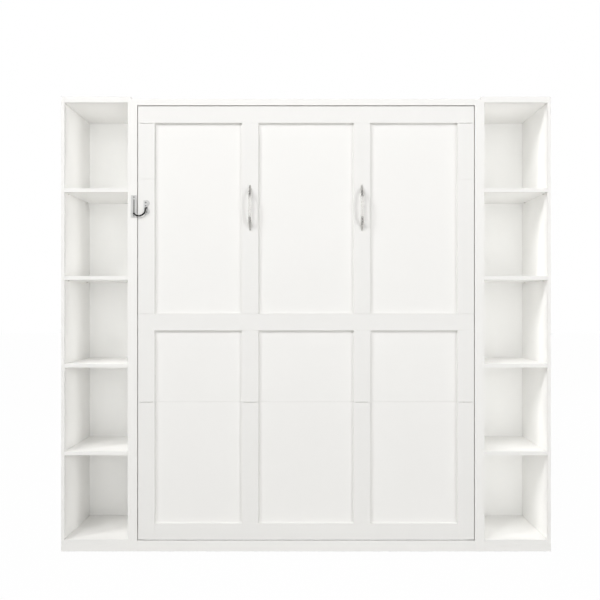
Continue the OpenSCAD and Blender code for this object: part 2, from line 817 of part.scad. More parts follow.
// A bowed pull: a flat oval grip between two pointed feet. Each row of one half holds the height
// above the handle's middle, the distances of the back and of the front from the face, and the width.
module handle(x) {
    half = handle_len / 2;
    slope = half - 22 - grip_len / 2;
    upper = [
        [grip_len / 2, handle_out - grip_d, handle_out, grip_w],
        [grip_len / 2 + slope * 0.25, handle_out * 0.6, handle_out * 0.93, grip_w + 1],
        [grip_len / 2 + slope * 0.55, handle_out * 0.32, handle_out * 0.74, foot_w],
        [grip_len / 2 + slope * 0.8, handle_out * 0.1, handle_out * 0.53, foot_w],
        [half - 22, 0, handle_out * 0.36, foot_w - 1],
        [half - 9, 0, handle_out * 0.2, foot_w * 0.6],
        [half, 0, handle_out * 0.06, foot_w * 0.2]];
    count = len(upper);
    rows = [for (i = [0 : 2 * count - 1]) let (r = upper[i < count ? count - 1 - i : i - count])
        [i < count ? -r[0] : r[0], r[1], r[2], r[3]]];
    sides = 16;
    centre = [for (r = rows) r[1] > 0 ? (r[1] + r[2]) / 2 : 0];
    points = concat([for (i = [0 : len(rows) - 1], j = [0 : sides - 1])
        let (r = rows[i], depth = r[2] - centre[i])
        [x + r[3] / 2 * cos(360 * j / sides),
            front_y - max(0, centre[i] + depth * sin(360 * j / sides)), handle_z + r[0]]],
        [for (end = [-1, 1]) [x, front_y - handle_out * 0.02, handle_z + end * half]]);
    last = (len(rows) - 1) * sides;
    faces = concat([for (i = [0 : len(rows) - 2], j = [0 : sides - 1])
        let (a = i * sides + j, b = i * sides + (j + 1) % sides)
        each [[a, b + sides, a + sides], [a, b, b + sides]]],
        [for (j = [0 : sides - 1]) [(j + 1) % sides, j, last + sides]],
        [for (j = [0 : sides - 1]) [last + j, last + (j + 1) % sides, last + sides + 1]]);
    color("silver") polyhedron(points, faces);
}

module handle_left() { handle(-mullion_x); }
module handle_right() { handle(mullion_x); }

// Fixed hinge halves and the hinge pins, of the leaf and of the legs
module hinge_halves() {
    color("white") {
        for (x = hinge_places()) {
            hinge_half(x, leaf_z, true);
            hinge_pin(x, leaf_z);
        }
        both_sides() {
            hinge_half_above(leg_x + frame_w / 2, leg_z1, true);
            hinge_pin(leg_x + frame_w / 2, leg_z1);
        }
    }
}

// ---------- legs ----------

// A leg board that folds out of the stile, with its hinge half
module leg() {
    x = leg_x + frame_w / 2;
    color("white") {
        difference() {
            slab_yz(leg_x, face_w / 2) translate([front_y, leg_z1]) polygon([[0, -seam / 2],
                [leg_t, -seam / 2], [leg_t, -leg_len + seam / 2 + leg_bevel],
                [leg_t / 4, -leg_len + seam / 2], [0, -leg_len + seam / 2]]);
            hinge_room(x, leg_z1);
        }
        hinge_half(x, leg_z1, false);
    }
}

module leg_left() { mirror([1, 0, 0]) leg(); }
module leg_right() { leg(); }

// ---------- safety chain ----------

// Slotted track on the cabinet's front edge; the knob goes in at the wide lower end
module chain_track() {
    z0 = chain_track_z - chain_track_len / 2;
    color("silver") difference() {
        board([chain_track_x - chain_plate_w / 2, front_y - track_thick, z0],
            [chain_track_x + chain_plate_w / 2, front_y, z0 + chain_track_len]);
        board([knob_at[0] - knob_neck_r - 1, front_y - track_thick - 1, knob_at[1]],
            [knob_at[0] + knob_neck_r + 1, front_y + 1, z0 + chain_track_len - slot_top]);
        rod_y(front_y - track_thick - 1, front_y + 1, knob_at[0], knob_at[1], knob_r + 1);
    }
}

// Plate on the bed, with the upright pin that the chain's eye turns on
module chain_plate() {
    lobe_r = anchor_len / 2 - 20.6;
    lobe_x = anchor_x + 1.5;
    edge_z = anchor_len / 2 - 2;
    lug_w = 2 * eye_r - 1;
    lug_t = 3;
    color("silver") {
        board([anchor_x - chain_plate_w / 2, front_y - anchor_thick, anchor_z - edge_z],
            [anchor_x + chain_plate_w / 4, front_y, anchor_z + edge_z]);
        for (s = [-1, 1])
            rod_y(front_y - anchor_thick, front_y, lobe_x, anchor_z + s * (anchor_len / 2 - lobe_r), lobe_r);
        translate(chain_pin) {
            for (s = [0, 1]) mirror([0, 0, s]) translate([0, 0, eye_h / 2 + run_gap]) {
                board([-lug_w / 2, 0, 0], [lug_w / 2, front_y - anchor_thick - chain_y, lug_t]);
                cylinder(h = lug_t, d = lug_w);
            }
            translate([0, 0, -eye_h / 2 - lug_t]) cylinder(h = eye_h + 2 * lug_t, r = eye_pin_r);
        }
    }
}

// A ring of chain wire round the Y axis
module wire_ring() {
    rotate([90, 0, 0]) rotate_extrude() translate([link_r, 0]) circle(d = chain_wire, $fn = 24);
}

// One link along X, lying in the plane of X and Z: a round wire bent to an oval
module link() {
    straight = link_pitch / 2 + link_lap - link_r;
    half = 10;
    sides = 8;
    bend = [for (end = [1, -1], i = [0 : half - 1]) [end, 90 * (1 - end) - 90 + 180 * i / (half - 1)]];
    points = [for (b = bend, j = [0 : sides - 1])
        let (r = link_r + chain_wire / 2 * cos(360 * j / sides))
        [b[0] * straight + r * cos(b[1]), chain_wire / 2 * sin(360 * j / sides), r * sin(b[1])]];
    rings = 2 * half;
    faces = [for (i = [0 : rings - 1], j = [0 : sides - 1])
        let (n = (i + 1) % rings, k = (j + 1) % sides)
        each [[i * sides + j, n * sides + j, n * sides + k], [i * sides + j, n * sides + k, i * sides + k]]];
    polyhedron(points, faces);
}

module safety_chain() {
    first = chain_from - ring_back * link_way(0);
    last = chain_to + ring_back * link_way(link_count - 1);
    color("black") {
        difference() {
            union() {
                translate(chain_pin - [0, 0, eye_h / 2]) cylinder(h = eye_h, r = eye_r);
                board([first[0], chain_y - chain_wire / 2, first[1] + link_r - chain_wire / 2],
                    [chain_pin[0], chain_y + chain_wire / 2, first[1] + link_r + chain_wire / 2]);
                translate([first[0], chain_y, first[1]]) rotate([0, 0, 90]) wire_ring();
            }
            translate(chain_pin - [0, 0, eye_h]) cylinder(h = 2 * eye_h, r = eye_pin_r + bore_gap);
        }
        for (i = [0 : link_count - 1]) {
            middle = (chain_point(i) + chain_point(i + 1)) / 2;
            way = link_way(i);
            translate([middle[0], chain_y, middle[1]]) rotate([0, -atan2(way[1], way[0]), 0])
                rotate([90 * (i % 2), 0, 0]) link();
        }
        translate([last[0], chain_y, last[1]])
            rotate([0, -atan2(link_way(link_count - 1)[1], link_way(link_count - 1)[0]), 0])
                rotate([90 * (link_count % 2), 0, 0]) wire_ring();
        rod_y(chain_y - knob_neck_r, front_y - track_thick, knob_at[0], knob_at[1], knob_neck_r);
        rod_y(front_y - track_thick, front_y - track_thick + 3, knob_at[0], knob_at[1], knob_r);
    }
}

cabinet_side_left();
cabinet_side_right();
cabinet_top();
cabinet_plinth();
cabinet_back();
wall_rail();
floor_rail();
left_outer_side();
left_inner_side();
left_top();
left_floor();
left_back();
left_shelves();
right_outer_side();
right_inner_side();
right_top();
right_floor();
right_back();
right_shelves();
bookcase_plinths();
shelf_pins();
pivot_plates();
pivot_pins();
strut_anchors();
chain_track();
strut_tube_left();
strut_tube_right();
strut_rod_left();
strut_rod_right();
upper_board();
lower_board();
top_rail();
bottom_rail();
upper_uprights();
lower_uprights();
bed_rail_left();
bed_rail_right();
end_boards();
centre_beam();
side_ledgers();
slats();
niche_boards();
niche_back();
mattress_bar();
handle_left();
handle_right();
pivot_bushes();
strut_studs();
hinge_halves();
stay_tracks();
chain_plate();
leaf_board();
mid_rail();
leaf_uprights();
leaf_fittings();
stay_arm_left();
stay_arm_right();
leg_left();
leg_right();
safety_chain();
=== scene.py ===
import json
import math
from statistics import mode
import bpy
from mathutils import Matrix, Vector


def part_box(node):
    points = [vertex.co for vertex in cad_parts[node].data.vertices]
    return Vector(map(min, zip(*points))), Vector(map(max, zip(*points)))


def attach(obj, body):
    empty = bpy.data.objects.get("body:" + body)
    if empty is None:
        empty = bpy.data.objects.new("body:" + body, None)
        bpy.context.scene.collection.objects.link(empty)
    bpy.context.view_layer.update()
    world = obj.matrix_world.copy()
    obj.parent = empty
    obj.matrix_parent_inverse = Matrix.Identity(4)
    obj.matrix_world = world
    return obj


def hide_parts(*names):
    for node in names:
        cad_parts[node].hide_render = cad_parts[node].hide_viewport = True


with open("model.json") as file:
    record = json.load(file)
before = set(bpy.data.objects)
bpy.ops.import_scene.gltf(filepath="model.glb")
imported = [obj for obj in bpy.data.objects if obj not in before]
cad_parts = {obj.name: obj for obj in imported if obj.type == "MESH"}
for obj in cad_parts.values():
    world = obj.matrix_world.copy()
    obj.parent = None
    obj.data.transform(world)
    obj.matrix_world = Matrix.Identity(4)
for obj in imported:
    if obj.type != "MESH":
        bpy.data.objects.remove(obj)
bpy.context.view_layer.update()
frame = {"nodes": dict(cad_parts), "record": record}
record = frame["record"]
bodyOf = {node: body for body, nodes in record["behaviour"]["bodies"].items() for node in nodes}
slotOf = {part["node"]: part["material_slot"] for part in record["subparts"]}
mm = 0.001
print("frame loaded:", len(frame["nodes"]), "nodes")

# the plane of the cabinet's and the trim's fronts
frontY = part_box("bottom_rail")[0].y

# the shifts are in the photo's pixels
cameraSettings = {"lens": 50, "sensor": 36, "distance": 4.008, "height": 1.190, "side": -0.002, "reach": 60,
                  "photoWidth": 600, "shiftX": -5.6, "shiftY": 4.0}


def addCamera(s):
    data = bpy.data.cameras.new("camera")
    data.lens = s["lens"]
    data.sensor_width = s["sensor"]
    data.shift_x = s["shiftX"] / s["photoWidth"]
    data.shift_y = s["shiftY"] / s["photoWidth"]
    data.clip_end = s["reach"]
    camera = bpy.data.objects.new("camera", data)
    camera.location = (s["side"], frontY - s["distance"], s["height"])
    camera.rotation_euler = (math.radians(90), 0, 0)
    bpy.context.scene.collection.objects.link(camera)
    bpy.context.scene.camera = camera


addCamera(cameraSettings)
print("camera placed")

faceMiddle, unitMiddle = (0, -0.25, 1.15), (0, 0, 1.15)
lampSettings = {
    "key": {"place": (-3.33, -6.51, 6.69), "aim": faceMiddle, "size": 1.5, "power": 214},
    "left": {"place": (-6.04, -4.48, 6.31), "aim": faceMiddle, "size": 2, "power": 278},
    "top": {"place": (0, -3.4, 5.0), "aim": faceMiddle, "size": 3, "power": 36},
    "right": {"place": (5.64, -5.89, 1.85), "aim": faceMiddle, "size": 3, "power": 214},
    "low": {"place": (0, -6.5, 0.9), "aim": faceMiddle, "size": 4, "power": 18},
    "rearRight": {"place": (5.5, 5.5, 4.2), "aim": unitMiddle, "size": 4, "power": 150},
    "rearLeft": {"place": (-7.5, 2.0, 3.2), "aim": unitMiddle, "size": 4, "power": 90}}
# what metal mirrors goes from eyeLevel to overhead between these tilts of the ray
worldSettings = {"glow": 0.10, "eyeLevel": 1.15, "overhead": 0.36, "eyeTilt": 0.15, "overheadTilt": 0.6}
# soft panels in the mouths of the bookcases, from the floor up, in watts
shelfLights = {
    "inset": 3 * mm, "tint": (0.98, 0.99, 1.0),
    "left": {"spread": 100, "powers": [0.168, 0.214, 0.246, 0.264, 0.270]},
    "right": {"spread": 120, "powers": [0.312, 0.325, 0.318, 0.328, 0.318]}}
# glow and mirroredGlow are the shares that glow instead of taking light, to the camera and in metal
floorSettings = {"size": 60, "drop": 0.4 * mm, "colour": (0.56, 0.555, 0.54, 1), "glow": 0.99,
                 "mirroredGlow": 0.8, "mirrored": 0.42}


def byRay(nodes, links, ray, other, value):
    # one value for this kind of ray and another for the rest
    mix = nodes.new("ShaderNodeMix")
    links.new(ray, mix.inputs["Factor"])
    for socket, source in (("A", other), ("B", value)):
        if isinstance(source, (int, float)):
            mix.inputs[socket].default_value = source
        else:
            links.new(source, mix.inputs[socket])
    return mix.outputs["Result"]


def addLamps(lamps):
    for name, s in lamps.items():
        data = bpy.data.lights.new(name + "Light", "AREA")
        data.shape = "DISK"
        data.size = s["size"]
        data.energy = s["power"]
        light = bpy.data.objects.new(name + "Light", data)
        light.location = s["place"]
        towards = Vector(s["aim"]) - Vector(s["place"])
        light.rotation_euler = towards.to_track_quat("-Z", "Y").to_euler()
        light.visible_glossy = False
        bpy.context.scene.collection.objects.link(light)


def addWorld(s):
    world = bpy.data.worlds.new("studio")
    bpy.context.scene.world = world
    world.use_nodes = True
    nodes, links = world.node_tree.nodes, world.node_tree.links
    shade = nodes["Background"]
    shade.inputs["Color"].default_value = (1, 1, 1, 1)
    # metal mirrors a studio that is bright at eye level and dim overhead
    place = nodes.new("ShaderNodeTexCoord")
    axes = nodes.new("ShaderNodeSeparateXYZ")
    tilt = nodes.new("ShaderNodeMath")
    tilt.operation = "ABSOLUTE"
    mirrored = nodes.new("ShaderNodeMapRange")
    for socket, key in (("From Min", "eyeTilt"), ("From Max", "overheadTilt"), ("To Min", "eyeLevel"),
                        ("To Max", "overhead")):
        mirrored.inputs[socket].default_value = s[key]
    links.new(place.outputs["Generated"], axes.inputs["Vector"])
    links.new(axes.outputs["Z"], tilt.inputs[0])
    links.new(tilt.outputs["Value"], mirrored.inputs["Value"])
    path = nodes.new("ShaderNodeLightPath")
    level = byRay(nodes, links, path.outputs["Is Glossy Ray"], s["glow"], mirrored.outputs["Result"])
    level = byRay(nodes, links, path.outputs["Is Camera Ray"], level, 1.0)
    links.new(level, shade.inputs["Strength"])


def addFloor(s):
    bpy.ops.mesh.primitive_plane_add(size=s["size"], location=(0, 0, -s["drop"]))
    floor = bpy.context.object
    floor.name = "floor"
    material = bpy.data.materials.new("paleFloor")
    material.use_nodes = True
    nodes, links = material.node_tree.nodes, material.node_tree.links
    nodes.clear()
    out = nodes.new("ShaderNodeOutputMaterial")
    mix = nodes.new("ShaderNodeMixShader")
    matt = nodes.new("ShaderNodeBsdfDiffuse")
    matt.inputs["Color"].default_value = s["colour"]
    # almost white to the camera, and dim in the metal
    glow = nodes.new("ShaderNodeEmission")
    path = nodes.new("ShaderNodeLightPath")
    share = byRay(nodes, links, path.outputs["Is Glossy Ray"], 0.0, s["mirroredGlow"])
    links.new(byRay(nodes, links, path.outputs["Is Camera Ray"], share, s["glow"]), mix.inputs["Fac"])
    links.new(byRay(nodes, links, path.outputs["Is Camera Ray"], s["mirrored"], 1.0), glow.inputs["Strength"])
    links.new(matt.outputs["BSDF"], mix.inputs[1])
    links.new(glow.outputs["Emission"], mix.inputs[2])
    links.new(mix.outputs["Shader"], out.inputs["Surface"])
    floor.data.materials.append(material)


def addShelfLights(s):
    for opening in record["physics"]["openings"]:
        side, _, row = opening["name"].partition("_compartment_")
        if not row:
            continue
        low, high = (Vector(corner) for corner in opening["box_m"])
        data = bpy.data.lights.new(opening["name"] + "Light", "AREA")
        data.shape = "RECTANGLE"
        data.size, data.size_y = high.x - low.x, high.z - low.z
        data.energy = s[side]["powers"][int(row) - 1]
        data.spread = math.radians(s[side]["spread"])
        data.color = s["tint"]
        light = bpy.data.objects.new(opening["name"] + "Light", data)
        light.location = ((low.x + high.x) / 2, frontY + s["inset"], (low.z + high.z) / 2)
        light.rotation_euler = (math.radians(90), 0, 0)
        light.visible_camera = light.visible_glossy = False
        bpy.context.scene.collection.objects.link(light)


addLamps(lampSettings)
addWorld(worldSettings)
addShelfLights(shelfLights)
addFloor(floorSettings)
bpy.context.scene.view_settings.view_transform = "Standard"
print("studio ready")

# scales per metre, stretches by axis, and the band of a noise's values that is used
textureSettings = {"toneDrift": 2.3, "glossDrift": 34.0, "pores": 14.0, "metalCloud": 60.0,
                   "streakStretch": (0.5, 9, 9), "poreStretch": (1.5, 60, 60), "lineStretch": (1, 1, 0.03),
                   "fineDetail": 2.0, "streakDetail": 5.0, "streakRough": 0.62,
                   "bandLow": 0.3, "bandHigh": 0.7}


def newGroup(name, inputs, outputs):
    group = bpy.data.node_groups.new(name, "ShaderNodeTree")
    for label, kind, value in inputs:
        socket = group.interface.new_socket(label, in_out="INPUT", socket_type="NodeSocket" + kind)
        socket.default_value = value
    for label, kind in outputs:
        group.interface.new_socket(label, in_out="OUTPUT", socket_type="NodeSocket" + kind)
    return group, group.nodes.new("NodeGroupInput"), group.nodes.new("NodeGroupOutput")


def objectPlace(group, stretch=(1, 1, 1)):
    place = group.nodes.new("ShaderNodeTexCoord")
    mapping = group.nodes.new("ShaderNodeMapping")
    mapping.inputs["Scale"].default_value = stretch
    group.links.new(place.outputs["Object"], mapping.inputs["Vector"])
    return mapping.outputs["Vector"]


def noise(group, place, scale, detail=3.0, rough=0.5):
    node = group.nodes.new("ShaderNodeTexNoise")
    node.inputs["Detail"].default_value = detail
    node.inputs["Roughness"].default_value = rough
    group.links.new(place, node.inputs["Vector"])
    if isinstance(scale, (int, float)):
        node.inputs["Scale"].default_value = scale
    else:
        group.links.new(scale, node.inputs["Scale"])
    return node.outputs["Fac"]


def spread(group, value, low, high):
    node = group.nodes.new("ShaderNodeMapRange")
    node.inputs["From Min"].default_value = textureSettings["bandLow"]
    node.inputs["From Max"].default_value = textureSettings["bandHigh"]
    group.links.new(value, node.inputs["Value"])
    for socket, source in (("To Min", low), ("To Max", high)):
        if isinstance(source, (int, float)):
            node.inputs[socket].default_value = source
        else:
            group.links.new(source, node.inputs[socket])
    return node.outputs["Result"]


def tinted(group, colour, value, amount):
    # darkens the colour a little where the value is low
    low = group.nodes.new("ShaderNodeMath")
    low.operation = "SUBTRACT"
    low.inputs[0].default_value = 1.0
    group.links.new(amount, low.inputs[1])
    factor = spread(group, value, low.outputs["Value"], 1.0)
    scale = group.nodes.new("ShaderNodeVectorMath")
    scale.operation = "SCALE"
    group.links.new(colour, scale.inputs[0])
    group.links.new(factor, scale.inputs["Scale"])
    return scale.outputs["Vector"]


def relief(group, height, depth):
    bump = group.nodes.new("ShaderNodeBump")
    bump.inputs["Strength"].default_value = 1.0
    group.links.new(height, bump.inputs["Height"])
    group.links.new(depth, bump.inputs["Distance"])
    return bump.outputs["Normal"]


def makePaintGroup():
    # sprayed lacquer: faint orange peel, and a slow drift of tone and gloss
    group, given, out = newGroup("sprayedLacquer",
        [("Color", "Color", (0.9, 0.9, 0.88, 1)), ("Peel Scale", "Float", 260.0),
         ("Peel Depth", "Float", 0.00002), ("Tone Drift", "Float", 0.02), ("Rough Low", "Float", 0.34),
         ("Rough High", "Float", 0.42)],
        [("Color", "Color"), ("Roughness", "Float"), ("Normal", "Vector")])
    s = textureSettings
    place = objectPlace(group)
    peel = noise(group, place, given.outputs["Peel Scale"], s["fineDetail"])
    drift = noise(group, place, s["toneDrift"])
    group.links.new(tinted(group, given.outputs["Color"], drift, given.outputs["Tone Drift"]),
                    out.inputs["Color"])
    gloss = noise(group, place, s["glossDrift"])
    group.links.new(spread(group, gloss, given.outputs["Rough Low"], given.outputs["Rough High"]),
                    out.inputs["Roughness"])
    group.links.new(relief(group, peel, given.outputs["Peel Depth"]), out.inputs["Normal"])
    return group


def makeGrainGroup():
    # planed timber: long streaks with darker pores along X
    group, given, out = newGroup("planedGrain",
        [("Light", "Color", (0.8, 0.66, 0.47, 1)), ("Dark", "Color", (0.62, 0.46, 0.29, 1)),
         ("Streak Scale", "Float", 9.0), ("Pore Depth", "Float", 0.00008), ("Rough Low", "Float", 0.5),
         ("Rough High", "Float", 0.68)],
        [("Color", "Color"), ("Roughness", "Float"), ("Normal", "Vector")])
    s = textureSettings
    streaks = noise(group, objectPlace(group, s["streakStretch"]), given.outputs["Streak Scale"],
                    s["streakDetail"], s["streakRough"])
    pores = noise(group, objectPlace(group, s["poreStretch"]), s["pores"], s["fineDetail"])
    mix = group.nodes.new("ShaderNodeMix")
    mix.data_type = "RGBA"
    group.links.new(spread(group, streaks, 1.0, 0.0), mix.inputs["Factor"])
    group.links.new(given.outputs["Light"], mix.inputs["A"])
    group.links.new(given.outputs["Dark"], mix.inputs["B"])
    group.links.new(mix.outputs["Result"], out.inputs["Color"])
    group.links.new(spread(group, pores, given.outputs["Rough Low"], given.outputs["Rough High"]),
                    out.inputs["Roughness"])
    group.links.new(relief(group, pores, given.outputs["Pore Depth"]), out.inputs["Normal"])
    return group


def makeMetalGroup():
    # drawn or brushed metal: fine lines along Z, with a cloudy roughness
    group, given, out = newGroup("brushedMetal",
        [("Color", "Color", (0.7, 0.7, 0.7, 1)), ("Line Scale", "Float", 900.0),
         ("Line Depth", "Float", 0.000006), ("Tone Drift", "Float", 0.06), ("Rough Low", "Float", 0.24),
         ("Rough High", "Float", 0.36)],
        [("Color", "Color"), ("Roughness", "Float"), ("Normal", "Vector")])
    s = textureSettings
    lines = noise(group, objectPlace(group, s["lineStretch"]), given.outputs["Line Scale"], s["fineDetail"])
    cloud = noise(group, objectPlace(group), s["metalCloud"])
    group.links.new(tinted(group, given.outputs["Color"], cloud, given.outputs["Tone Drift"]),
                    out.inputs["Color"])
    group.links.new(spread(group, cloud, given.outputs["Rough Low"], given.outputs["Rough High"]),
                    out.inputs["Roughness"])
    group.links.new(relief(group, lines, given.outputs["Line Depth"]), out.inputs["Normal"])
    return group


groups = {"sprayedLacquer": makePaintGroup(), "planedGrain": makeGrainGroup(),
          "brushedMetal": makeMetalGroup()}

finishes = {
    "cabinet_paint": {"group": "sprayedLacquer", "Color": (0.945, 0.938, 0.918), "Peel Depth": 0.000006,
                      "Tone Drift": 0.012, "Rough Low": 0.52, "Rough High": 0.6},
    "face_paint": {"group": "sprayedLacquer", "Color": (0.945, 0.938, 0.918), "Peel Depth": 0.000007,
                   "Tone Drift": 0.012, "Rough Low": 0.5, "Rough High": 0.58},
    # the face paint made a little darker: painted shade on the stiles, rails and uprights
    "trim_paint_shaded": {"group": "sprayedLacquer", "Color": (0.912, 0.905, 0.886), "Peel Depth": 0.000007,
                   "Tone Drift": 0.012, "Rough Low": 0.5, "Rough High": 0.58},
    "bed_board": {"group": "sprayedLacquer", "Color": (0.86, 0.85, 0.825), "Peel Scale": 700.0,
                  "Peel Depth": 0.00003, "Tone Drift": 0.03, "Rough Low": 0.5, "Rough High": 0.6},
    "slat_wood": {"group": "planedGrain", "Light": (0.74, 0.57, 0.37), "Dark": (0.55, 0.38, 0.21)},
    "hinge_enamel": {"group": "sprayedLacquer", "Color": (0.87, 0.86, 0.84), "Peel Scale": 1500.0,
                     "Peel Depth": 0.00001, "Rough Low": 0.26, "Rough High": 0.34},
    "zinc_steel": {"group": "brushedMetal", "Color": (0.60, 0.61, 0.62), "metal": 1.0, "Tone Drift": 0.14,
                   "Rough Low": 0.3, "Rough High": 0.46},
    "nickel": {"group": "brushedMetal", "Color": (0.84, 0.83, 0.80), "metal": 1.0, "Line Scale": 1800.0,
               "Line Depth": 0.000003, "Rough Low": 0.24, "Rough High": 0.32},
    "nickel_plate": {"group": "brushedMetal", "Color": (0.76, 0.76, 0.75), "metal": 0.6, "Line Scale": 1800.0,
                     "Tone Drift": 0.1, "Rough Low": 0.34, "Rough High": 0.46},
    # painted shade for the sheet at the bottom of the chain track's slot
    "slot_shade": {"group": "sprayedLacquer", "Color": (0.34, 0.34, 0.33), "Rough Low": 0.5,
                   "Rough High": 0.6},
    "strut_black": {"group": "sprayedLacquer", "Color": (0.022, 0.022, 0.024), "Peel Scale": 900.0,
                    "Peel Depth": 0.00001, "Tone Drift": 0.2, "Rough Low": 0.22, "Rough High": 0.32},
    "strut_chrome": {"group": "brushedMetal", "Color": (0.72, 0.72, 0.73), "metal": 1.0,
                     "Line Depth": 0.000001, "Rough Low": 0.07, "Rough High": 0.13},
    "nylon": {"group": "sprayedLacquer", "Color": (0.74, 0.73, 0.69), "Peel Scale": 500.0,
              "Peel Depth": 0.00002, "Rough Low": 0.45, "Rough High": 0.55},
    "chain_black": {"group": "brushedMetal", "Color": (0.012, 0.012, 0.012), "sheen": 0.15, "Rough Low": 0.5,
                    "Rough High": 0.62},
    "back_board": {"group": "sprayedLacquer", "Color": (0.955, 0.95, 0.93), "Peel Scale": 420.0,
                   "Peel Depth": 0.00004, "Tone Drift": 0.03, "Rough Low": 0.55, "Rough High": 0.66},
    "screw_steel": {"group": "brushedMetal", "Color": (0.42, 0.42, 0.43), "metal": 1.0, "Rough Low": 0.25,
                    "Rough High": 0.4},
    "screw_dark": {"group": "brushedMetal", "Color": (0.16, 0.16, 0.165), "metal": 1.0, "Rough Low": 0.3,
                   "Rough High": 0.45},
}


def makeMaterial(name, finish):
    material = bpy.data.materials.new(name)
    material.use_nodes = True
    nodes, links = material.node_tree.nodes, material.node_tree.links
    shader = nodes["Principled BSDF"]
    shader.inputs["Metallic"].default_value = finish.get("metal", 0.0)
    shader.inputs["Specular IOR Level"].default_value = finish.get("sheen", 0.5)
    holder = nodes.new("ShaderNodeGroup")
    holder.node_tree = groups[finish["group"]]
    for label, value in finish.items():
        if label in holder.inputs:
            holder.inputs[label].default_value = (*value, 1) if isinstance(value, tuple) else value
    links.new(holder.outputs["Color"], shader.inputs["Base Color"])
    links.new(holder.outputs["Roughness"], shader.inputs["Roughness"])
    links.new(holder.outputs["Normal"], shader.inputs["Normal"])
    return material


materials = {name: makeMaterial(name, finish) for name, finish in finishes.items()}
for node, cadObject in frame["nodes"].items():
    cadObject.data.materials.clear()
    cadObject.data.materials.append(materials[slotOf[node]])
print("materials made:", len(materials))

# for copies of the frame's meshes and for broken edges; angles are in degrees
cleanSettings = {"merge": 0.01 * mm, "flatAngle": 0.5}
easeSettings = {"smoothAngle": 32, "edgeAngle": 40}


def selectOnly(piece):
    bpy.ops.object.select_all(action="DESELECT")
    piece.select_set(True)
    bpy.context.view_layer.objects.active = piece


def applied(piece, kind, **values):
    selectOnly(piece)
    bpy.ops.object.modifier_add(type=kind)
    modifier = piece.modifiers[-1]
    for key, value in values.items():
        setattr(modifier, key, value)
    bpy.ops.object.modifier_apply(modifier=modifier.name)


def joined(pieces):
    bpy.ops.object.select_all(action="DESELECT")
    for piece in pieces:
        piece.select_set(True)
    bpy.context.view_layer.objects.active = pieces[0]
    bpy.ops.object.join()
    return pieces[0]


def settle(piece, name, body, slot, material=None, smooth=None):
    # puts the place into the mesh, and says what the piece moves with and is made of
    piece.name = name
    selectOnly(piece)
    bpy.ops.object.transform_apply(location=True, rotation=True, scale=True)
    if smooth:
        bpy.ops.object.shade_smooth_by_angle(angle=math.radians(smooth))
    piece.data.materials.clear()
    piece.data.materials.append(materials[material or slot])
    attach(piece, body)
    bpy.ops.object.select_all(action="DESELECT")
    return piece


def copyOfNode(node):
    piece = bpy.data.objects.new(node + ".copy", frame["nodes"][node].data.copy())
    bpy.context.scene.collection.objects.link(piece)
    selectOnly(piece)
    bpy.ops.mesh.customdata_custom_splitnormals_clear()
    bpy.ops.object.mode_set(mode="EDIT")
    bpy.ops.mesh.select_all(action="SELECT")
    bpy.ops.mesh.remove_doubles(threshold=cleanSettings["merge"])
    bpy.ops.mesh.dissolve_limited(angle_limit=math.radians(cleanSettings["flatAngle"]))
    bpy.ops.mesh.normals_make_consistent(inside=False)
    bpy.ops.object.mode_set(mode="OBJECT")
    return piece


def eased(node, ease, steps, material):
    # the piece with its sharp edges broken, as a sander, a lipping or a press leaves them
    piece = copyOfNode(node)
    bpy.ops.object.shade_smooth_by_angle(angle=math.radians(easeSettings["smoothAngle"]))
    applied(piece, "BEVEL", width=ease, segments=steps, limit_method="ANGLE",
            angle_limit=math.radians(easeSettings["edgeAngle"]), use_clamp_overlap=True, harden_normals=True)
    settle(piece, node + ".eased", bodyOf[node], slotOf[node], material)
    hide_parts(node)
    return piece


# how far sharp edges are broken, by kind of piece
boardEase = {
    "cabinet": {"ease": 0.8 * mm, "nodes": ["cabinet_side_left", "cabinet_side_right", "cabinet_top",
        "cabinet_plinth", "wall_rail", "floor_rail", "left_outer_side", "left_inner_side", "left_top",
        "left_floor", "left_shelves", "right_outer_side", "right_inner_side", "right_top", "right_floor",
        "right_shelves", "bookcase_plinths"]},
    "panels": {"ease": 0.6 * mm, "nodes": ["upper_board", "lower_board", "leaf_board"]},
    "trim": {"ease": 0.6 * mm, "paint": "trim_paint_shaded", "nodes": ["top_rail", "bottom_rail", "upper_uprights",
        "lower_uprights", "mid_rail", "leaf_uprights", "leg_left", "leg_right"]},
    "bed": {"ease": 1.0 * mm, "nodes": ["bed_rail_left", "bed_rail_right", "end_boards", "niche_boards"]},
    "timber": {"ease": 3.0 * mm, "steps": 3, "nodes": ["slats", "centre_beam", "side_ledgers"]},
    "backs": {"ease": 0.4 * mm, "steps": 1, "paint": "back_board", "nodes": ["cabinet_back", "left_back",
        "right_back", "niche_back"]},
}
metalEase = {
    "plates": {"ease": 0.5 * mm, "nodes": ["pivot_plates", "strut_anchors", "strut_studs", "leaf_fittings",
        "stay_tracks", "stay_arm_left", "stay_arm_right"]},
    "chain plates": {"ease": 0.5 * mm, "paint": "nickel_plate", "nodes": ["chain_track", "chain_plate"]},
    "round": {"ease": 0.8 * mm, "nodes": ["strut_tube_left", "strut_tube_right", "strut_rod_left",
        "strut_rod_right", "pivot_pins", "pivot_bushes", "shelf_pins", "mattress_bar"]},
    "hinges": {"ease": 0.25 * mm, "nodes": ["hinge_halves"]},
}

for s in [*boardEase.values(), *metalEase.values()]:
    for node in s["nodes"]:
        eased(node, s["ease"], s.get("steps", 2), s.get("paint"))
print("boards and fittings eased")

pullSettings = {"quadAngle": 60, "levels": 2, "smoothAngle": 60}


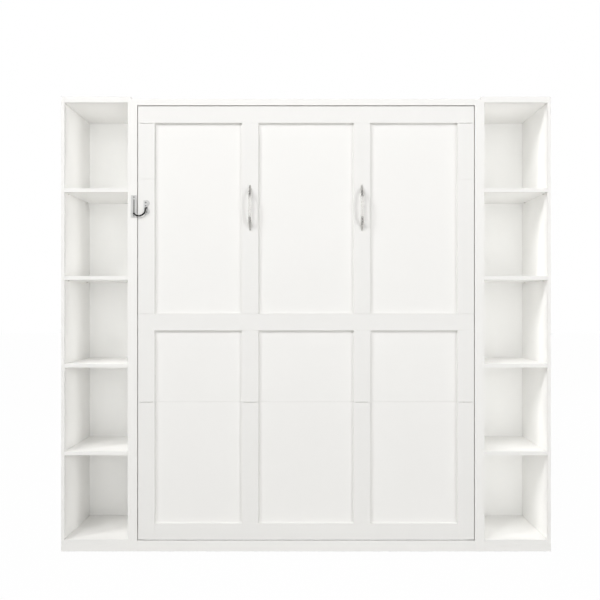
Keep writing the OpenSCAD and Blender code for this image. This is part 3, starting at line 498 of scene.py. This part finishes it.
def bowedPull(node):
    # the frame's handle, rounded by subdivision
    s = pullSettings
    quadAngle = math.radians(s["quadAngle"])
    piece = copyOfNode(node)
    bpy.ops.object.mode_set(mode="EDIT")
    bpy.ops.mesh.select_all(action="SELECT")
    bpy.ops.mesh.tris_convert_to_quads(face_threshold=quadAngle, shape_threshold=quadAngle)
    bpy.ops.object.mode_set(mode="OBJECT")
    applied(piece, "SUBSURF", levels=s["levels"], render_levels=s["levels"])
    settle(piece, node + ".pull", bodyOf[node], slotOf[node], smooth=s["smoothAngle"])
    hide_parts(node)


for node in ("handle_left", "handle_right"):
    bowedPull(node)
print("handles made")

chainSettings = {"twist": 45, "thicker": 0.9 * mm, "smoothAngle": 50}


def twistedChain(node):
    # the frame's links, each turned about its own length so that they close up like a curb chain
    s = chainSettings
    copyOfNode(node)
    bpy.ops.object.mode_set(mode="EDIT")
    bpy.ops.mesh.separate(type="LOOSE")
    bpy.ops.object.mode_set(mode="OBJECT")
    pieces = list(bpy.context.selected_objects)
    # most of the loose pieces are links, with as many corners each
    count = mode([len(piece.data.vertices) for piece in pieces])
    for link in [piece for piece in pieces if len(piece.data.vertices) == count]:
        corners = [corner.co.copy() for corner in link.data.vertices]
        middle = sum(corners, Vector()) / count
        way = max((corner - middle for corner in corners), key=lambda reach: reach.length)
        link.data.transform(Matrix.Translation(middle) @ Matrix.Rotation(math.radians(s["twist"]), 4, way)
                            @ Matrix.Translation(-middle))
        applied(link, "DISPLACE", strength=s["thicker"], mid_level=0)
        applied(link, "SUBSURF", levels=1, render_levels=1)
    piece = settle(joined(pieces), node + ".smooth", bodyOf[node], slotOf[node], smooth=s["smoothAngle"])
    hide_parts(node)


twistedChain("safety_chain")
print("chain made")

# edge and slotDepth are shares of the head's height, slotReach of its width, and slotWidth of the slot's
# length; turn is in radians, from one head to the next
screwSettings = {"sides": 20, "height": 1.7 * mm, "edge": 0.38, "slotWidth": 0.22, "slotReach": 0.62,
                 "slotDepth": 0.55, "turn": 1.3, "smoothAngle": 35}


def screwHead(radius):
    s = screwSettings
    bpy.ops.mesh.primitive_cylinder_add(vertices=s["sides"], radius=radius, depth=s["height"])
    head = bpy.context.object
    applied(head, "BEVEL", width=s["height"] * s["edge"], segments=2, limit_method="ANGLE")
    for reach in ((1, s["slotWidth"]), (s["slotWidth"], 1)):
        bpy.ops.mesh.primitive_cube_add(size=1, location=(0, 0, s["height"] / 2))
        cutter = bpy.context.object
        cutter.scale = (2 * radius * s["slotReach"] * reach[0], 2 * radius * s["slotReach"] * reach[1],
                        2 * s["height"] * s["slotDepth"])
        bpy.ops.object.transform_apply(location=True, rotation=True, scale=True)
        applied(head, "BOOLEAN", operation="DIFFERENCE", object=cutter, solver="EXACT")
        bpy.data.objects.remove(cutter)
    return head


def screws(name, body, radius, towards, places, slot="zinc_steel", material="screw_steel"):
    # heads at these places, half sunk, looking along towards
    first = screwHead(radius)
    turn = Vector(towards).to_track_quat("Z", "Y")
    heads = []
    for i, place in enumerate(places):
        head = bpy.data.objects.new(name + ".head", first.data.copy())
        bpy.context.scene.collection.objects.link(head)
        head.rotation_mode = "QUATERNION"
        head.rotation_quaternion = turn @ Matrix.Rotation(i * screwSettings["turn"], 3, "Z").to_quaternion()
        head.location = place
        heads.append(head)
    bpy.data.objects.remove(first)
    settle(joined(heads), name, body, slot, material, smooth=screwSettings["smoothAngle"])


def cornerPlaces(low, high, inset):
    return [(y, z) for y in (low[0] + inset, high[0] - inset) for z in (low[1] + inset, high[1] - inset)]


plateSettings = {"plate": 3 * mm, "pivotHead": 4.2 * mm, "pivotInset": 13 * mm, "anchorHead": 3.2 * mm,
                 "studHead": 3.0 * mm, "inset": 7 * mm}


def plateScrews(s):
    pivotLow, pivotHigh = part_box("pivot_plates")
    anchorLow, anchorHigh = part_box("strut_anchors")
    studLow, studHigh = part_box("strut_studs")
    plate = s["plate"]
    for side, way in (("left", -1), ("right", 1)):
        screws("pivotScrews." + side, "cabinet", s["pivotHead"], (-way, 0, 0),
               [(way * (pivotHigh.x - plate), y, z)
                for y, z in cornerPlaces(pivotLow.yz, pivotHigh.yz, s["pivotInset"])])
        screws("anchorScrews." + side, "cabinet", s["anchorHead"], (-way, 0, 0),
               [(way * (anchorHigh.x - plate), y, z)
                for y, z in cornerPlaces(anchorLow.yz, anchorHigh.yz, s["inset"])])
        low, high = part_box("bed_rail_" + side)
        rail = high.x if way > 0 else -low.x
        screws("studScrews." + side, "bed", s["studHead"], (way, 0, 0),
               [(way * (rail + plate), y, z) for y, z in cornerPlaces(studLow.yz, studHigh.yz, s["inset"])])


# places of the heads on the chain's two plates, from the top or the bottom of each
chainScrewSettings = {"trackHead": 3.2 * mm, "trackTop": 9 * mm, "trackBottom": 6 * mm, "plateHead": 3.4 * mm,
                      "sheet": 2.5 * mm, "row": 10.5 * mm, "tops": (12 * mm, 28 * mm), "lowX": 16 * mm,
                      "lowZ": 12 * mm}


def chainScrews(s):
    low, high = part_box("chain_track")
    x = (low.x + high.x) / 2
    screws("chainTrackScrews", "cabinet", s["trackHead"], (0, -1, 0),
           [(x, low.y, high.z - s["trackTop"]), (x, low.y, low.z + s["trackBottom"])], "nickel", "screw_dark")
    low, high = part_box("chain_plate")
    sheetY = frontY - s["sheet"]
    screws("chainPlateScrews", "bed", s["plateHead"], (0, -1, 0),
           [(low.x + s["row"], sheetY, high.z - top) for top in s["tops"]]
           + [(low.x + s["lowX"], sheetY, low.z + s["lowZ"])], "nickel", "screw_dark")


# the sheet of painted shade in the chain track's slot
slotShadeSettings = {"width": 5.4 * mm, "thick": 0.5 * mm, "shorter": 34 * mm, "lower": 3 * mm,
                 "knobRadius": 4.5 * mm}


def paintedSlotShade(s):
    # a grey sheet at the bottom of the chain track's slot: painted shade where the slot lies in shade
    low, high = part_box("chain_track")
    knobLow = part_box("safety_chain")[0]
    bpy.ops.mesh.primitive_cube_add(size=1)
    shadeSheet = bpy.context.object
    shadeSheet.scale = (s["width"], s["thick"], high.z - low.z - s["shorter"])
    shadeSheet.location = (knobLow.x + s["knobRadius"], high.y - s["thick"] / 2, (low.z + high.z) / 2 - s["lower"])
    settle(shadeSheet, "chainTrackPaintedShade", "cabinet", "nickel", "slot_shade")


# count and slat are the number and the width of the part's slats
slatScrewSettings = {"head": 3.6 * mm, "count": 14, "slat": 68 * mm, "ends": 9 * mm, "shift": 18 * mm}


def slatScrews(s):
    low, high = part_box("slats")
    pitch = (high.z - low.z - s["slat"]) / (s["count"] - 1)
    screws("slatScrews", "bed", s["head"], (0, 1, 0),
           [(x, high.y, low.z + s["slat"] / 2 + i * pitch + shift) for i in range(s["count"])
            for x in (low.x + s["ends"], high.x - s["ends"]) for shift in (-s["shift"], s["shift"])])


backScrewSettings = {"head": 3.0 * mm, "edge": 9 * mm, "pitch": 190 * mm,
                     "nodes": ["cabinet_back", "left_back", "right_back"]}


def backScrews(s):
    edge = s["edge"]
    for node in s["nodes"]:
        low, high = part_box(node)
        count = int((high.z - low.z - 2 * edge) / s["pitch"])
        rise = (high.z - low.z - 2 * edge) / count
        across = int((high.x - low.x) / (2 * s["pitch"])) + 1
        step = (high.x - low.x - 2 * edge) / across
        places = [(x, high.y, low.z + edge + i * rise) for i in range(count + 1)
                  for x in (low.x + edge, high.x - edge)]
        places += [(low.x + edge + j * step, high.y, z) for j in range(1, across)
                   for z in (low.z + edge, high.z - edge)]
        screws(node + ".screws", bodyOf[node], s["head"], (0, 1, 0), places)


plateScrews(plateSettings)
chainScrews(chainScrewSettings)
paintedSlotShade(slotShadeSettings)
slatScrews(slatScrewSettings)
backScrews(backScrewSettings)
print("screws placed")
